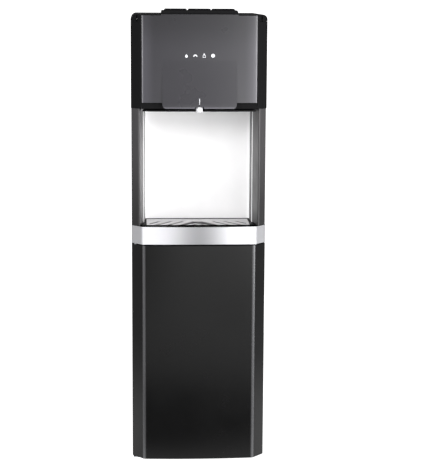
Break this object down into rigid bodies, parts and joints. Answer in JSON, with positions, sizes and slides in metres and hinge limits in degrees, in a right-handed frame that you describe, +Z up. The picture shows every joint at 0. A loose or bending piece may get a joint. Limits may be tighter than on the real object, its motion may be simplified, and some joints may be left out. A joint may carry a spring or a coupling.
{
  "type": "bottom-load water dispenser",
  "caption": "Floor-standing water dispenser: head with rocking keys over an alcove with a drip grille, and a hinged door over the bottle bay.",
  "frame": {"origin": "on the floor under the middle of the machine's bounding box", "axes": "+Z up, -Y the front with the spout and the door, +X to the right as seen from the front"},
  "size_m": [0.31, 0.36, 1.05],
  "materials": {
    "black_plastic": "fine-grained black moulding",
    "key_black": "soft matt black",
    "door_gloss": "smooth satin-gloss black",
    "satin_panel": "satin charcoal lacquer",
    "column_grey": "fine-grained dark grey moulding",
    "alcove_white": "smooth white moulding",
    "white_plastic": "white moulding",
    "grey_plastic": "grey vacuum-formed sheet",
    "silver_plastic": "silver-painted moulding",
    "bright_band": "brushed bright metal finish",
    "painted_steel": "black powder coat, fine orange peel",
    "galvanised_steel": "zinc-plated sheet",
    "stainless_steel": "brushed stainless sheet",
    "foam": "expanded foam block",
    "rubber": "black rubber",
    "red_plastic": "red moulding",
    "switch_green": "green moulding",
    "lens_white": "translucent white lens",
    "clear_hose": "milky silicone"
  },
  "bodies": {
    "cabinet": {"base_pan": "black_plastic", "foot_front_left": "rubber", "foot_front_right": "rubber", "foot_rear_left": "rubber", "foot_rear_right": "rubber", "side_panel_left": "painted_steel", "side_panel_right": "painted_steel", "rear_panel": "painted_steel", "bay_liner": "grey_plastic", "bay_ceiling": "grey_plastic", "bottle_pad": "black_plastic", "probe": "white_plastic", "probe_holder": "black_plastic", "probe_hose": "clear_hose", "mid_shelf": "galvanised_steel", "tank_shelf": "galvanised_steel", "tray_deck": "black_plastic", "tray_band": "bright_band", "column_left": "column_grey", "column_right": "column_grey", "alcove_liner": "alcove_white", "alcove_roof": "black_plastic", "head_shell": "black_plastic", "top_cover": "black_plastic", "front_panel": "satin_panel", "spout_hood": "satin_panel", "spout_marker": "lens_white", "spout": "white_plastic", "indicator_heating": "lens_white", "indicator_ready": "lens_white", "indicator_bottle": "lens_white", "indicator_cooling": "lens_white", "key_bezel": "black_plastic", "valve_block": "white_plastic", "compressor": "painted_steel", "hot_tank": "stainless_steel", "cold_tank": "stainless_steel", "cold_foam": "foam", "pump": "black_plastic", "condenser": "painted_steel", "wall_spacer_left": "black_plastic", "wall_spacer_right": "black_plastic", "switch_plate": "black_plastic", "drain_spigot": "white_plastic", "cord_gland": "rubber", "strike_plate": "galvanised_steel", "hinge_lower": "galvanised_steel", "hinge_upper": "galvanised_steel"},
    "door": {"door_panel": "door_gloss", "door_liner": "black_plastic", "door_magnet": "rubber"},
    "hot_key": {"key_hot": "key_black"},
    "hot_key_lock": {"hot_lock": "red_plastic"},
    "room_key": {"key_room": "key_black"},
    "cold_key": {"key_cold": "key_black"},
    "tray": {"drip_tray": "grey_plastic"},
    "grille": {"drip_grille": "silver_plastic"},
    "hot_switch": {"switch_hot": "red_plastic"},
    "cold_switch": {"switch_cold": "switch_green"},
    "drain_plug": {"drain_cap": "white_plastic"}
  },
  "joints": [
    {"name": "door_swing", "type": "hinge", "parent": "cabinet", "child": "door", "pos_m": [-0.1455, -0.146, 0.26], "axis": [0, 0, -1], "range_deg": [0, 110]},
    {"name": "hot_key_press", "type": "hinge", "parent": "cabinet", "child": "hot_key", "pos_m": [-0.054, -0.112, 1.0425], "axis": [1, 0, 0], "range_deg": [0, 4], "stiffness_Nm_per_rad": 1.5, "springref_deg": -5.73},
    {"name": "hot_lock_slide", "type": "slide", "parent": "hot_key", "child": "hot_key_lock", "axis": [0, 1, 0], "range_m": [0, 0.004], "stiffness_N_per_m": 120, "springref_m": -0.001},
    {"name": "room_key_press", "type": "hinge", "parent": "cabinet", "child": "room_key", "pos_m": [0, -0.112, 1.0425], "axis": [1, 0, 0], "range_deg": [0, 4], "stiffness_Nm_per_rad": 1.5, "springref_deg": -5.73},
    {"name": "cold_key_press", "type": "hinge", "parent": "cabinet", "child": "cold_key", "pos_m": [0.054, -0.112, 1.0425], "axis": [1, 0, 0], "range_deg": [0, 4], "stiffness_Nm_per_rad": 1.5, "springref_deg": -5.73},
    {"name": "tray_lift", "type": "slide", "parent": "cabinet", "child": "tray", "axis": [0, 0, 1], "range_m": [0, 0.06]},
    {"name": "grille_lift", "type": "slide", "parent": "tray", "child": "grille", "axis": [0, 0, 1], "range_m": [0, 0.06]},
    {"name": "hot_switch_rock", "type": "hinge", "parent": "cabinet", "child": "hot_switch", "pos_m": [-0.096, 0.1542, 0.925], "axis": [1, 0, 0], "range_deg": [-16, 0]},
    {"name": "cold_switch_rock", "type": "hinge", "parent": "cabinet", "child": "cold_switch", "pos_m": [-0.064, 0.1542, 0.925], "axis": [1, 0, 0], "range_deg": [-16, 0]},
    {"name": "drain_cap_pull", "type": "slide", "parent": "cabinet", "child": "drain_plug", "axis": [0, 1, 0], "range_m": [0, 0.02]}
  ]
}
